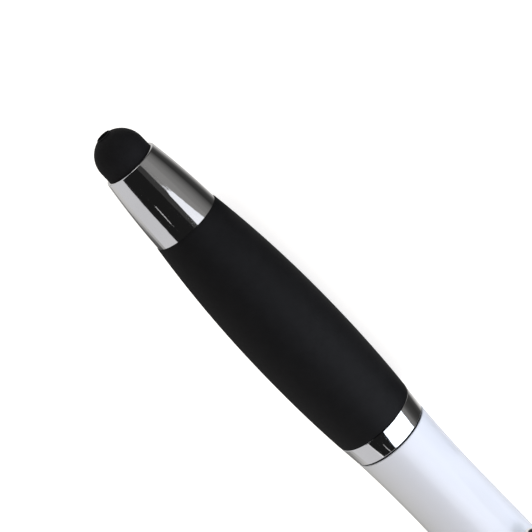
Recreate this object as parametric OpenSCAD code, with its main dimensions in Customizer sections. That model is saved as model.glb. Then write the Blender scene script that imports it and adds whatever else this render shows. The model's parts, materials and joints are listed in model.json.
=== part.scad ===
// Twist-action stylus ballpoint pen, lying on its side with the ballpoint drawn in.
// The pen's axis runs along X, the stylus points to -X, the clip to +Y, and the belly of
// the grip touches Z = 0. Stations along the pen are distances from the stylus apex, and
// every piece is drawn upright on Z with the clip on its +X side, and then laid down by lay().

/* [Overall] */
// Length of the pen from the stylus apex to the end of the cap
pen_length = 140; // [136:1:150]

/* [Stylus tip] */
// Diameter of the rubber dome
dome_d = 7.05; // [6.7:0.05:7.3]
// Height of the dome in front of the nose cone
dome_height = 5; // [4.7:0.1:5.6]
// Diameter of the outlet that the ballpoint comes out of
outlet_d = 1.7; // [1.65:0.05:1.9]
// Width of the raised lip round the outlet
lip_width = 0.2; // [0.2:0.05:0.4]
// Height of the raised lip over the dome
lip_rise = 0.15; // [0.1:0.05:0.3]

/* [Nose cone] */
// Length of the nose cone that shows
nose_length = 10.8; // [9.8:0.1:12]
// Diameter at the front rim, before its edge is rounded
nose_front_d = 7.9; // [7.8:0.1:8.4]
// Diameter where the nose cone meets the grip
nose_rear_d = 9.86; // [9.6:0.02:10.1]
// Swell of the nose cone's side beyond a straight taper
nose_swell = 0.14; // [0:0.02:0.3]
// Rounding of the front rim
rim_round = 0.3; // [0.1:0.05:0.35]
// Depth that the dome sinks behind the rim
dome_seat = 0.3; // [0.1:0.05:0.5]
// Diameter of the spigot that carries the dome
spigot_d = 4.6; // [4.2:0.1:4.8]
// Length of the spigot in front of the rim
spigot_length = 2.4; // [2:0.1:2.6]
// Height of the snap bead on the spigot
snap_bead = 0.2; // [0.1:0.05:0.3]
// Distance from the rim to the spring's seat
spring_seat = 3; // [2.6:0.1:4]
// Diameter of the threaded socket at the rear
thread_d = 7.4; // [7:0.1:7.6]
// Depth of the threaded socket
thread_length = 6.3; // [5:0.1:6.6]

/* [Grip] */
// Length of the rubber grip sleeve
grip_length = 37.3; // [34:0.1:42]
// Diameter at the grip's front end
grip_front_d = 10.04; // [10:0.02:10.8]
// Diameter at the grip's belly
grip_belly_d = 13; // [12:0.1:14]
// Diameter at the grip's rear end
grip_rear_d = 12; // [11.4:0.1:12.4]
// Distance from the grip's front end to its belly
grip_belly_at = 23.2; // [18:0.1:26]
// Fullness of the belly: 2 is a parabola, higher is flatter
grip_fullness = 2.1; // [2:0.1:3]
// Rounding of the grip's rear edge
grip_round = 0.4; // [0.2:0.1:0.6]
// Diameter of the plastic core inside the sleeve
core_d = 8.4; // [8:0.1:8.8]
// Number of holding ribs on the core
rib_count = 4; // [2:1:6]
// Width of a holding rib
rib_width = 1.4; // [0.8:0.1:2]
// Height of a holding rib
rib_height = 0.25; // [0.1:0.05:0.4]

/* [Centre ring] */
// Length of the chrome centre ring
ring_length = 3.1; // [2:0.1:5]
// Diameter at the ring's front edge
ring_front_d = 11.9; // [11.2:0.1:12]
// Diameter at the ring's rear edge
ring_rear_d = 11.4; // [11.2:0.1:12]
// Rounding of the ring's edges
ring_round = 0.1; // [0.1:0.05:0.3]

/* [Twist joint] */
// Gap that shows between the ring and the barrel
twist_gap = 0.3; // [0.1:0.05:0.5]
// Diameter of the journal that the barrel turns on
journal_d = 8.8; // [8.8:0.05:9.2]
// Length of the journal behind the ring
journal_length = 7.8; // [6:0.1:12]
// Section diameter of the rubber friction ring on the journal
friction_ring_d = 0.9; // [0.7:0.05:1]
// Width of the groove beside the friction ring's section
groove_room = 0.2; // [0.1:0.05:0.4]

/* [Barrel] */
// Diameter of the barrel's taper at its front end
barrel_front_d = 10.24; // [10:0.02:11.4]
// Diameter of the barrel at its rear end
barrel_rear_d = 9.7; // [9.6:0.1:10.4]
// Swell of the barrel's side beyond a straight taper
barrel_swell = 0.5; // [0:0.05:0.8]
// Extra radius of the flare that meets the centre ring
flare = 0.55; // [0:0.05:0.8]
// Length of the flare
flare_length = 14; // [6:1:20]
// Rounding of the barrel's front edge
barrel_round = 0.1; // [0.05:0.05:0.3]
// Depth of the lead-in that flares the mouth of the bore
mouth_depth = 1.2; // [0.6:0.1:2]
// Width of the flat rim between the lead-in and the rounded front edge
mouth_rim = 0.1; // [0.05:0.05:0.6]
// Diameter of the main bore
barrel_bore_d = 7.8; // [7.6:0.1:8]
// Diameter of the bore behind the twist mechanism
barrel_rear_bore_d = 6.9; // [6.8:0.05:7]

/* [End cap] */
// Length of the chrome end cap
cap_length = 11; // [10:0.5:14]
// Length of the domed part of the cap
cap_dome = 4; // [2:0.5:5]
// Diameter of the flat at the very end
cap_flat_d = 5.2; // [4:0.1:6]
// Diameter of the plug's stud in the cap
stud_d = 7.2; // [7:0.1:7.6]
// Length of the stud in the cap
stud_length = 7; // [6:0.1:7.4]
// Depth of the plug's stem in the barrel
stem_depth = 8; // [5:0.5:10]
// Diameter of the hollow in the plug's stem
stem_core_d = 4.4; // [3:0.1:5]
// Wall left at the hollow's end
stem_web = 1; // [0.6:0.1:2]
// Least gap between the stem and the guide tube
stem_gap = 0.4; // [0.2:0.1:1]

/* [Clip] */
// Distance from the clip's tang to its free end
clip_length = 53.5; // [40:0.1:60]
// Thickness of the clip's sheet
clip_t = 0.8; // [0.6:0.1:1]
// Width of the clip at the bend
clip_width = 4.4; // [4:0.1:5]
// Width of the clip at its round free end
clip_end_width = 3; // [2.4:0.1:4]
// Gap between the clip and the barrel at the bend
clip_gap = 1.7; // [1.4:0.1:3]
// Radius of the bend at the middle of the sheet
clip_bend = 1.6; // [1.2:0.1:2]
// Distance from the free end to the contact bump
clip_bump_at = 5.4; // [4:0.1:8]
// Radius of the contact bump
clip_bump_r = 0.6; // [0.5:0.05:0.7]
// Radius of the upturned free end
clip_ski_r = 20; // [12:1:40]
// Gap left between the contact bump and the barrel
clip_rest_gap = 0.1; // [0.05:0.05:0.3]
// Distance from the barrel's end to the tang
tang_at = 2; // [1.6:0.1:3.6]
// Width of the tang's neck
tang_neck = 3; // [2.4:0.1:3.4]
// Width of the tang's crossbar
tang_bar = 4.6; // [4.2:0.1:4.8]
// Length of the crossbar along the tang
tang_bar_length = 0.9; // [0.6:0.1:1]
// Distance of the crossbar from the pen's axis
tang_bar_at = 0.6; // [0.5:0.1:0.9]
// Room for the tang to rock forward in its pocket
tang_room = 0.35; // [0.3:0.05:0.5]

/* [Refill] */
// Length of the refill from the ball to the end of its tube
refill_length = 106.8; // [100:0.1:108]
// Depth of the ball inside the outlet when it is drawn in
tip_depth = 1.5; // [1:0.1:2]
// Diameter of the writing ball
ball_d = 0.7; // [0.5:0.1:0.8]
// Share of the ball's diameter that stands out of its socket
ball_show = 0.3; // [0.2:0.05:0.4]
// Wall of the socket's rim round the ball
socket_wall = 0.1; // [0.08:0.01:0.15]
// Diameter of the needle behind the ball
needle_d = 1.5; // [1.4:0.05:1.5]
// Length of the cone between the ball and the needle
needle_cone = 2.2; // [1:0.1:3]
// Length of the ball, cone and needle
needle_length = 6; // [5.8:0.1:6.6]
// Length of the shoulder behind the needle
shoulder_length = 0.7; // [0.4:0.1:1]
// Diameter of the tip's shaft
shaft_d = 2.3; // [2.1:0.1:2.3]
// Length of the metal tip from the ball to its shank's end
tip_length = 16; // [14:0.5:18]
// Diameter of the shank pressed into the holder
shank_d = 1.6; // [1.4:0.1:1.7]
// Length of the shank
shank_length = 4; // [2:0.5:5]
// Diameter of the ink channel through the tip
channel_d = 0.5; // [0.3:0.1:0.6]
// Diameter of the holder's collar, which the spring pushes on
collar_d = 4.1; // [3.8:0.1:4.2]
// Length of the collar
collar_length = 1.5; // [1:0.1:3]
// Distance from the ball to the collar's front
collar_at = 21; // [19:0.5:24]
// Diameter of the refill's tube
tube_d = 3; // [2.8:0.1:3.2]
// Wall of the refill's tube
tube_wall = 0.4; // [0.3:0.05:0.5]
// Length of the holder's stem in the tube
holder_stem = 5; // [3:0.5:8]
// Length of tube left empty behind the ink
ink_headroom = 14; // [5:1:40]

/* [Return spring] */
// Wire diameter of the return spring
wire_d = 0.36; // [0.3:0.02:0.44]
// Diameter of the coil at the middle of its wire
coil_d = 3.3; // [3.2:0.05:3.5]
// Number of turns
coil_turns = 11; // [8:1:13]

/* [Twist mechanism] */
// Travel of the refill between drawn in and writing
travel = 4.5; // [3.5:0.1:4.6]
// Turn of the barrel over that travel, in degrees
twist = 180; // [120:10:180]
// Outside diameter of the guide tube
guide_d = 5.8; // [5.6:0.1:5.9]
// Bore of the guide tube and the grip core
guide_bore_d = 4.5; // [4.4:0.05:4.6]
// Length of the guide tube held in the grip core
guide_seat = 14; // [8:0.5:18]
// Thickness of the guide tube's flange
flange_t = 1.1; // [0.8:0.1:2]
// Diameter of the guide tube's flange
flange_d = 7.2; // [6.8:0.1:7.4]
// Depth of the plunger's socket for the refill
plunger_socket = 5; // [3:0.5:8]
// Diameter of the plunger's lugs
lug_d = 1.6; // [1.2:0.1:1.8]
// Distance from the refill's end to the lugs
lug_at = 1.6; // [1.2:0.1:2.4]
// Length of plunger behind the lugs
plunger_tail = 1.8; // [1:0.1:2.4]
// Radial gap between the lugs and the barrel's bore
lug_gap = 0.3; // [0.2:0.05:0.5]
// Wall of the cam sleeve beyond the ends of its slots
cam_end = 1.6; // [1.2:0.1:2.4]
// Thickness of the snap ring behind the cam sleeve
snap_t = 0.6; // [0.4:0.1:0.8]
// Depth of the snap ring's groove in the guide tube
snap_groove = 0.25; // [0.15:0.05:0.3]
// Height of the snap ring above the guide tube
snap_height = 0.4; // [0.35:0.05:0.45]
// Opening of the snap ring, in degrees
snap_opening = 70; // [40:10:120]
// Length of guide tube behind the snap ring
guide_tail = 1; // [0.6:0.1:2]

/* [Clearances] */
// Radial clearance of pieces that are pressed or glued together
press_fit = 0.01; // [0.01:0.01:0.03]
// Radial clearance of pieces that slide or turn
running_fit = 0.07; // [0.05:0.01:0.1]
// Side clearance of a lug or tang in its slot
slot_fit = 0.15; // [0.1:0.05:0.2]
// End clearance of the turning cam sleeve
end_play = 0.1; // [0.05:0.05:0.2]
// Clearance of the ball in its socket
ball_fit = 0.015; // [0.01:0.005:0.02]

/* [Hidden] */
$fn = 96;
curve_steps = 20;
edge_steps = 5;
over = 0.5;

// Stations of the outer pieces
nose_s = dome_height;
grip_s = nose_s + nose_length;
ring_s = grip_s + grip_length;
joint_s = ring_s + ring_length;
barrel_s = joint_s + twist_gap;
cap_s = pen_length - cap_length;
belly_s = grip_s + grip_belly_at;

// Dome and spigot
outlet_r = outlet_d / 2;
lip_r = outlet_r + lip_width;
dome_r = dome_d / 2;
dome_centre_s = lip_rise + sqrt(dome_r * dome_r - lip_r * lip_r);
dome_base_s = nose_s + dome_seat;
spigot_s = nose_s - spigot_length;
bead_s = (spigot_s + dome_base_s) / 2;
bead_half = (dome_base_s - spigot_s) / 8;
spring_s = nose_s + spring_seat;
tip_bore_d = shaft_d + 2 * running_fit;
socket_s = grip_s - thread_length;

// Core, journal and guide tube
journal_end_s = joint_s + journal_length;
guide_s = journal_end_s - guide_seat;
friction_ring_s = joint_s + journal_length / 2;
counterbore_d = journal_d + 2 * running_fit;
friction_ring_r = (counterbore_d - friction_ring_d) / 2 - running_fit / 2;
groove_d = 2 * friction_ring_r - friction_ring_d;
groove_width = friction_ring_d + groove_room;

// Refill, at rest with the ball drawn in
ball_r = ball_d / 2;
ball_s = tip_depth;
ball_centre_s = ball_s + ball_r;
socket_r = ball_r + ball_fit;
socket_rim_s = ball_s + ball_d * ball_show;
socket_rim_r = socket_r + socket_wall;
needle_s = ball_s + needle_length;
shaft_s = needle_s + shoulder_length;
tip_end_s = ball_s + tip_length;
shank_s = tip_end_s - shank_length;
collar_s = ball_s + collar_at;
tube_s = collar_s + collar_length;
tube_bore_d = tube_d - 2 * tube_wall;
ink_s = tube_s + holder_stem;
refill_end_s = ball_s + refill_length;
ink_end_s = refill_end_s - ink_headroom;
neck_d = shaft_d;

// Twist mechanism, at rest
lug_s = refill_end_s + lug_at;
slot_width = lug_d + 2 * slot_fit;
plunger_s = refill_end_s - plunger_socket;
plunger_end_s = lug_s + lug_d / 2 + plunger_tail;
plunger_d = guide_bore_d - 2 * running_fit;
cam_s = lug_s - travel - slot_width / 2 - cam_end;
cam_end_s = lug_s + slot_width / 2 + cam_end;
cam_bore_d = guide_d + 2 * running_fit;
lug_reach = barrel_bore_d / 2 - lug_gap;
flange_s = cam_s - end_play - flange_t;
snap_s = cam_end_s + end_play;
snap_bore_d = guide_d - 2 * snap_groove;
snap_d = guide_d + 2 * snap_height;
guide_end_s = max(snap_s + snap_t, plunger_end_s) + guide_tail;

// Clip and plug
tang_s = cap_s + tang_at;
stem_d = barrel_rear_bore_d - 2 * press_fit;
stem_s = max(cap_s - stem_depth, guide_end_s + stem_gap);
stud_end_s = cap_s + stud_length;
cap_bore_d = stud_d + 2 * press_fit;
clip_end_s = tang_s - clip_length;
bump_s = clip_end_s + clip_bump_at;
bend_x = barrel_radius(cap_s) + clip_gap + clip_t / 2 - clip_bend;
bend_s = tang_s - clip_bend;
bump_x = barrel_radius(bump_s) + clip_rest_gap + clip_bump_r;
arm_top_x = bend_x + clip_bend;
arm_bump_x = bump_x + clip_t / 2;
clip_lean = atan((arm_top_x - arm_bump_x) / (bend_s - bump_s));
ski_x = arm_bump_x + clip_ski_r * cos(clip_lean);
ski_s = bump_s - clip_ski_r * sin(clip_lean);
ski_angle = asin(clip_bump_at / clip_ski_r);
ski_top_x = ski_x - (clip_ski_r - clip_t / 2) * cos(ski_angle);
clip_reach = max(arm_top_x + clip_t / 2, ski_top_x);
pocket_s = tang_s - clip_t / 2 - tang_room;

// Points of an arc about a centre, between two angles
function arc_points(centre, r, from, to, steps) = [
    for (i = [0:steps])
        let (a = from + (to - from) * i / steps)
        centre + r * [cos(a), sin(a)]
];

// Points of a line between two points, swelling outwards in the middle
function swelled(p, q, swell, steps) = [
    for (i = [0:steps])
        let (u = i / steps)
        p + (q - p) * u + [4 * swell * u * (1 - u), 0]
];

// Radius of the grip sleeve at a station: it falls away from the belly towards each end
function grip_radius(s) =
    let (front = s < belly_s)
    let (end_d = front ? grip_front_d : grip_rear_d)
    let (reach = front ? grip_belly_at : ring_s - grip_round - belly_s)
    (grip_belly_d - (grip_belly_d - end_d) * pow(abs(s - belly_s) / reach, grip_fullness)) / 2;

// Radius of the barrel at a station: a taper with a swell in the middle and a flare at the ring
function barrel_radius(s) =
    let (u = (s - barrel_s) / (cap_s - barrel_s))
    let (f = max(0, 1 - (s - barrel_s) / flare_length))
    (barrel_front_d + (barrel_rear_d - barrel_front_d) * u) / 2
        + 4 * barrel_swell * u * (1 - u) + flare * f * f;

// Stations spread evenly between two stations
function stations(from, to, steps) = [for (i = [0:steps]) from + (to - from) * i / steps];

// Triangles that close a tube of rings, each with the same number of sides
function tube_faces(rings, sides) = concat(
    [for (i = [0:rings - 2], j = [0:sides - 1])
        [i * sides + j, i * sides + (j + 1) % sides, (i + 1) * sides + j]],
    [for (i = [0:rings - 2], j = [0:sides - 1])
        [i * sides + (j + 1) % sides, (i + 1) * sides + (j + 1) % sides, (i + 1) * sides + j]],
    [for (j = [1:sides - 2]) [0, j + 1, j]],
    [for (j = [1:sides - 2]) let (k = (rings - 1) * sides) [k, k + j, k + j + 1]]
);

// Lays an upright piece down along X, with its +X side to +Y, the belly on Z = 0 and the
// middle of the pen's length and width over the origin
module lay() {
    translate([-pen_length / 2, (grip_belly_d / 2 - clip_reach) / 2, grip_belly_d / 2])
        rotate([0, 90, 0])
            rotate([0, 0, 90])
                children();
}

// A turned piece from points of radius and station
module turned(outline) {
    rotate_extrude()
        polygon(outline);
}

// A round bar or bore between two stations
module round_bar(d, from, to) {
    translate([0, 0, from])
        cylinder(d = d, h = to - from);
}

// A tube between two stations
module tube(d, bore_d, from, to) {
    difference() {
        round_bar(d, from, to);
        round_bar(bore_d, from - over, to + over);
    }
}

// Two round bars across the axis at a station, on opposite sides
module cross_bars(d, reach, s) {
    translate([0, -reach, s])
        rotate([-90, 0, 0])
            cylinder(d = d, h = 2 * reach);
}

// The ring of a bead of low height, with sloping sides
module bead(d, height, s, half) {
    turned([
        [0, s - 2 * half],
        [d / 2, s - 2 * half],
        [d / 2 + height, s - half],
        [d / 2 + height, s + half],
        [d / 2, s + 2 * half],
        [0, s + 2 * half]
    ]);
}

// The spigot that the rubber dome snaps onto
module spigot(extra) {
    round_bar(spigot_d + 2 * extra, spigot_s - extra, dome_base_s + over);
    bead(spigot_d + 2 * extra, snap_bead, bead_s, bead_half);
}

// Rubber stylus dome with the ballpoint's outlet at its apex
module stylus_tip() {
    outline = concat(
        [[0, 0], [lip_r - lip_rise / 2, 0]],
        arc_points([lip_r - lip_rise / 2, lip_rise / 2], lip_rise / 2, -90, 0, edge_steps),
        arc_points([0, dome_centre_s], dome_r, -acos(lip_r / dome_r), 0, curve_steps),
        [[dome_r, dome_base_s], [0, dome_base_s]]
    );
    color("#1b1b1d")
        lay()
            difference() {
                turned(outline);
                round_bar(outlet_d, -over, spigot_s + over);
                spigot(press_fit);
            }
}

// Chrome nose cone that screws onto the grip core and seats the spring
module nose_cone() {
    rim_r = nose_front_d / 2;
    outline = concat(
        [[0, nose_s]],
        arc_points([rim_r - rim_round, nose_s + rim_round], rim_round, -90, 0, edge_steps),
        swelled([rim_r, nose_s + rim_round], [nose_rear_d / 2, grip_s], nose_swell, curve_steps),
        [[0, grip_s]]
    );
    color("#d9dade")
        lay()
            difference() {
                union() {
                    difference() {
                        turned(outline);
                        round_bar(dome_d + 2 * press_fit, nose_s - over, dome_base_s);
                    }
                    spigot(0);
                }
                round_bar(tip_bore_d, spigot_s - over, spring_s + over);
                round_bar(guide_bore_d, spring_s, socket_s + over);
                round_bar(thread_d, socket_s, grip_s + over);
            }
}

// Holding ribs round the core, which the rubber sleeve grips
module ribs(extra) {
    pitch = grip_length / rib_count;
    for (i = [0:rib_count - 1])
        bead(core_d + 2 * extra, rib_height, grip_s + (i + 0.5) * pitch, rib_width / 4);
}

// Plastic core: front thread, sleeve seat, ring seat and the journal that the barrel turns on
module grip_core() {
    color("#3a3b3e")
        lay()
            difference() {
                union() {
                    round_bar(thread_d - 2 * press_fit, socket_s + end_play, grip_s);
                    round_bar(core_d, grip_s, ring_s);
                    ribs(0);
                    round_bar(journal_d, ring_s, journal_end_s);
                }
                round_bar(guide_bore_d, socket_s - over, guide_s + over);
                round_bar(guide_d + 2 * press_fit, guide_s, journal_end_s + over);
                translate([0, 0, friction_ring_s - groove_width / 2])
                    difference() {
                        cylinder(d = journal_d + 2 * over, h = groove_width);
                        cylinder(d = groove_d, h = groove_width);
                    }
            }
}

// Soft rubber grip sleeve with a swelling belly
module grip_sleeve() {
    side_end_s = ring_s - grip_round;
    rear_r = grip_rear_d / 2;
    outline = concat(
        [[0, grip_s]],
        [for (s = stations(grip_s, side_end_s, 2 * curve_steps)) [grip_radius(s), s]],
        arc_points([rear_r - grip_round, side_end_s], grip_round, 0, 90, edge_steps),
        [[0, ring_s]]
    );
    color("#141416")
        lay()
            difference() {
                turned(outline);
                round_bar(core_d + 2 * press_fit, grip_s - over, ring_s + over);
                ribs(press_fit);
            }
}

// Chrome ring between the grip and the barrel
module centre_ring() {
    front_r = ring_front_d / 2 - ring_round;
    rear_r = ring_rear_d / 2 - ring_round;
    outline = concat(
        [[0, ring_s]],
        arc_points([front_r, ring_s + ring_round], ring_round, -90, 0, edge_steps),
        arc_points([rear_r, joint_s - ring_round], ring_round, 0, 90, edge_steps),
        [[0, joint_s]]
    );
    color("#d9dade")
        lay()
            difference() {
                turned(outline);
                round_bar(journal_d + 2 * press_fit, ring_s - over, joint_s + over);
            }
}

// Rubber ring that gives the twist its drag
module friction_ring() {
    color("#2a2a2c")
        lay()
            translate([0, 0, friction_ring_s])
                rotate_extrude()
                    translate([friction_ring_r, 0])
                        circle(d = friction_ring_d);
}

// Straight slots that keep the plunger's lugs from turning
module guide_slots() {
    for (side = [-1, 1])
        translate([-slot_width / 2, side > 0 ? 0 : -guide_d, lug_s - travel])
            cube([slot_width, guide_d, travel]);
    cross_bars(slot_width, guide_d, lug_s);
    cross_bars(slot_width, guide_d, lug_s - travel);
}

// Long inner tube: pressed into the grip core, flanged and slotted for the twist mechanism
module guide_tube() {
    color("#e4e4e0")
        lay()
            difference() {
                union() {
                    round_bar(guide_d, guide_s, guide_end_s);
                    round_bar(flange_d, flange_s, flange_s + flange_t);
                }
                round_bar(guide_bore_d, guide_s - over, guide_end_s + over);
                guide_slots();
                tube(guide_d + 2 * over, snap_bore_d, snap_s, snap_s + snap_t);
            }
}

// Open snap ring that keeps the cam sleeve on the guide tube
module snap_ring() {
    reach = snap_d;
    color("#b8babd")
        lay()
            difference() {
                tube(snap_d, snap_bore_d + 2 * press_fit, snap_s, snap_s + snap_t);
                translate([0, 0, snap_s - over])
                    linear_extrude(snap_t + 2 * over)
                        polygon([
                            [0, 0],
                            reach * [cos(snap_opening / 2), sin(snap_opening / 2)],
                            reach * [cos(snap_opening / 2), -sin(snap_opening / 2)]
                        ]);
            }
}

// Centre line of the return spring
coil_rings = 12;
coil_sides = 6;
coil_low_s = spring_s + wire_d / 2;
coil_high_s = collar_s - wire_d / 2;
function coil_point(i) =
    let (u = i / (coil_rings * coil_turns))
    let (a = 360 * coil_turns * u)
    [coil_d / 2 * cos(a), coil_d / 2 * sin(a), coil_low_s + (coil_high_s - coil_low_s) * u];
coil_gap = min([
    for (i = [0:coil_rings * (coil_turns - 1)]) norm(coil_point(i + coil_rings) - coil_point(i))
]) - wire_d;
echo(return_spring_least_gap = coil_gap);

// Wire coil that draws the refill back in
module return_spring() {
    rings = coil_rings * coil_turns + 1;
    points = [
        for (i = [0:rings - 1], j = [0:coil_sides - 1])
            let (p = coil_point(i))
            let (out = [p[0], p[1], 0] / norm([p[0], p[1]]))
            let (a = 360 * j / coil_sides)
            p + wire_d / 2 * (cos(a) * out + sin(a) * [0, 0, 1])
    ];
    color("#b8babd")
        lay()
            polyhedron(points, tube_faces(rings, coil_sides));
}

// White barrel: swelled and flared outside, with bores for the journal, the twist mechanism and the plug
module barrel() {
    side_s = barrel_s + barrel_round;
    edge_r = barrel_radius(side_s) - barrel_round;
    bore_r = counterbore_d / 2;
    mouth_r = max(edge_r - mouth_rim, bore_r);
    mouth_slope = (mouth_r - bore_r) / mouth_depth;
    outline = concat(
        [[0, barrel_s]],
        arc_points([edge_r, side_s], barrel_round, -90, 0, edge_steps),
        [for (s = stations(side_s, cap_s, 3 * curve_steps)) [barrel_radius(s), s]],
        [[0, cap_s]]
    );
    color("#eef2f7")
        lay()
            difference() {
                turned(outline);
                turned([
                    [0, barrel_s - over],
                    [mouth_r + over * mouth_slope, barrel_s - over],
                    [bore_r, barrel_s + mouth_depth],
                    [0, barrel_s + mouth_depth]
                ]);
                round_bar(counterbore_d, barrel_s - over, journal_end_s + running_fit);
                round_bar(barrel_bore_d, journal_end_s, cam_end_s);
                round_bar(barrel_rear_bore_d, cam_end_s - over, cap_s + over);
            }
}

// Cutter of one helical slot, which a lug follows from one end to the other as the sleeve turns
module helical_slot(start_angle) {
    rings = 2 * curve_steps + 1;
    inner = cam_bore_d / 2 - over;
    outer = barrel_bore_d / 2 + over;
    mean = (cam_bore_d + barrel_bore_d) / 4;
    along = [mean * twist * PI / 180, travel] / norm([mean * twist * PI / 180, travel]);
    points = [
        for (i = [0:rings - 1], corner = [[inner, -1], [outer, -1], [outer, 1], [inner, 1]])
            let (u = i / (rings - 1))
            let (a = start_angle - twist * u)
            let (side = corner[1] * slot_width / 2)
            corner[0] * [cos(a), sin(a), 0]
                + side * along[1] * [-sin(a), cos(a), 0]
                + [0, 0, lug_s - travel * u - side * along[0]]
    ];
    polyhedron(points, tube_faces(rings, 4));
    for (end = [[start_angle, lug_s], [start_angle - twist, lug_s - travel]])
        rotate([0, 0, end[0]])
            translate([inner, 0, end[1]])
                rotate([0, 90, 0])
                    cylinder(d = slot_width, h = outer - inner);
}

// Cam sleeve pressed into the barrel, whose helical slots drive the plunger's lugs
module cam_sleeve() {
    color("#e4e4e0")
        lay()
            difference() {
                tube(barrel_bore_d - 2 * press_fit, cam_bore_d, cam_s, cam_end_s);
                for (side = [90, 270])
                    helical_slot(side);
            }
}

// The clip's tang in the flat, widened by a side clearance
module tang_outline(to_x, extra) {
    translate([tang_bar_at - extra, -tang_bar / 2 - extra])
        square([tang_bar_length + 2 * extra, tang_bar + 2 * extra]);
    translate([tang_bar_at, -tang_neck / 2 - extra])
        square([to_x - tang_bar_at, tang_neck + 2 * extra]);
}

// Plastic plug: a stem in the barrel, and a stud with the tang's pocket and a key in the cap's notch
module cap_plug() {
    color("#3a3b3e")
        lay()
            difference() {
                union() {
                    round_bar(stem_d, stem_s, cap_s);
                    round_bar(stud_d, cap_s, stud_end_s);
                    intersection() {
                        round_bar(barrel_rear_d, cap_s, pocket_s);
                        translate([0, -tang_neck / 2, cap_s])
                            cube([barrel_rear_d, tang_neck, pocket_s - cap_s]);
                    }
                }
                round_bar(stem_core_d, stem_s - over, cap_s - stem_web);
                translate([0, 0, pocket_s])
                    linear_extrude(stud_end_s - pocket_s + over)
                        tang_outline(stud_d, slot_fit);
            }
}

// Chrome end cap, notched for the clip, with a domed end and a flat
module end_cap() {
    skirt_r = barrel_rear_d / 2;
    flat_r = cap_flat_d / 2;
    dome_s = pen_length - cap_dome;
    notch_width = tang_neck + 2 * slot_fit;
    notch_top_s = tang_s + clip_t / 2 + end_play;
    outline = concat(
        [[0, cap_s], [skirt_r, cap_s]],
        [for (a = [0:90 / curve_steps:90])
            [flat_r + (skirt_r - flat_r) * cos(a), dome_s + cap_dome * sin(a)]],
        [[0, pen_length]]
    );
    color("#d9dade")
        lay()
            difference() {
                turned(outline);
                round_bar(cap_bore_d, cap_s - over, stud_end_s);
                translate([0, -notch_width / 2, cap_s - over])
                    cube([skirt_r + over, notch_width, notch_top_s - cap_s + over]);
            }
}

// One face of the clip's sheet from the bend to the free end, at a distance outside its middle
function clip_face(outside) =
    concat(
        arc_points([bend_x, bend_s], clip_bend + outside, 90, -clip_lean, curve_steps / 2),
        arc_points([ski_x, ski_s], clip_ski_r - outside, 180 - clip_lean, 180 + ski_angle, curve_steps / 2)
    );

// Chrome spring clip: crossbar tang, bend, arm, contact bump and upturned round end
module clip() {
    upper = clip_face(clip_t / 2);
    lower = clip_face(-clip_t / 2);
    end_r = clip_end_width / 2;
    round_s = clip_end_s + end_r;
    color("#d9dade")
        lay() {
            intersection() {
                rotate([90, 0, 0])
                    linear_extrude(clip_width, center = true)
                        polygon(concat(upper, [for (i = [len(lower) - 1:-1:0]) lower[i]]));
                rotate([0, -90, 0])
                    mirror([0, 0, 1])
                        linear_extrude(2 * bend_x) {
                            polygon([
                                [tang_s + over, clip_width / 2],
                                [round_s, end_r],
                                [round_s, -end_r],
                                [tang_s + over, -clip_width / 2]
                            ]);
                            translate([round_s, 0])
                                circle(r = end_r);
                        }
            }
            translate([0, 0, tang_s - clip_t / 2])
                linear_extrude(clip_t)
                    tang_outline(bend_x, 0);
            translate([bump_x, 0, bump_s])
                rotate([90, 0, 0])
                    cylinder(r = clip_bump_r, h = clip_end_width - clip_t, center = true);
        }
}

// Plunger: a socket on the refill's end, and two lugs that reach into the cam sleeve
module plunger() {
    color("#c8ccd0")
        lay()
            difference() {
                union() {
                    round_bar(plunger_d, plunger_s, plunger_end_s);
                    cross_bars(lug_d, lug_reach, lug_s);
                }
                round_bar(tube_d + 2 * press_fit, plunger_s - over, refill_end_s);
            }
}

// Plastic tube that holds the ink
module refill_tube() {
    color("#dfe6ea")
        lay()
            tube(tube_d, tube_bore_d, tube_s, refill_end_s);
}

// Column of ink in the tube
module ink_column() {
    color("#1d2a6b")
        lay()
            round_bar(tube_bore_d - 2 * press_fit, ink_s, ink_end_s);
}

// Plastic holder between the metal tip and the tube, with the collar that the spring pushes on
module tip_holder() {
    color("#dfe6ea")
        lay()
            difference() {
                union() {
                    round_bar(neck_d, shank_s, collar_s);
                    round_bar(collar_d, collar_s, tube_s);
                    round_bar(tube_bore_d - 2 * press_fit, tube_s, ink_s);
                }
                round_bar(shank_d + 2 * press_fit, shank_s - over, tip_end_s);
                round_bar(channel_d, shank_s, ink_s + over);
            }
}

// Metal writing tip: socket rim, cone, needle, shoulder, shaft and shank, with the ink channel
module refill_tip() {
    outline = [
        [0, socket_rim_s],
        [socket_rim_r, socket_rim_s],
        [needle_d / 2, ball_s + needle_cone],
        [needle_d / 2, needle_s],
        [shaft_d / 2, shaft_s],
        [shaft_d / 2, shank_s],
        [shank_d / 2, shank_s],
        [shank_d / 2, tip_end_s],
        [0, tip_end_s]
    ];
    color("#c9b37a")
        lay()
            difference() {
                turned(outline);
                translate([0, 0, ball_centre_s])
                    sphere(r = socket_r);
                round_bar(channel_d, ball_centre_s, tip_end_s + over);
            }
}

// Writing ball
module writing_ball() {
    color("#8f9296")
        lay()
            translate([0, 0, ball_centre_s])
                sphere(r = ball_r);
}

stylus_tip();
nose_cone();
grip_core();
grip_sleeve();
centre_ring();
friction_ring();
guide_tube();
snap_ring();
return_spring();
barrel();
cam_sleeve();
cap_plug();
end_cap();
clip();
plunger();
refill_tube();
ink_column();
tip_holder();
refill_tip();
writing_ball();
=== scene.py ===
import json
import math

import bmesh
import bpy
from mathutils import Matrix, Vector


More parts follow.
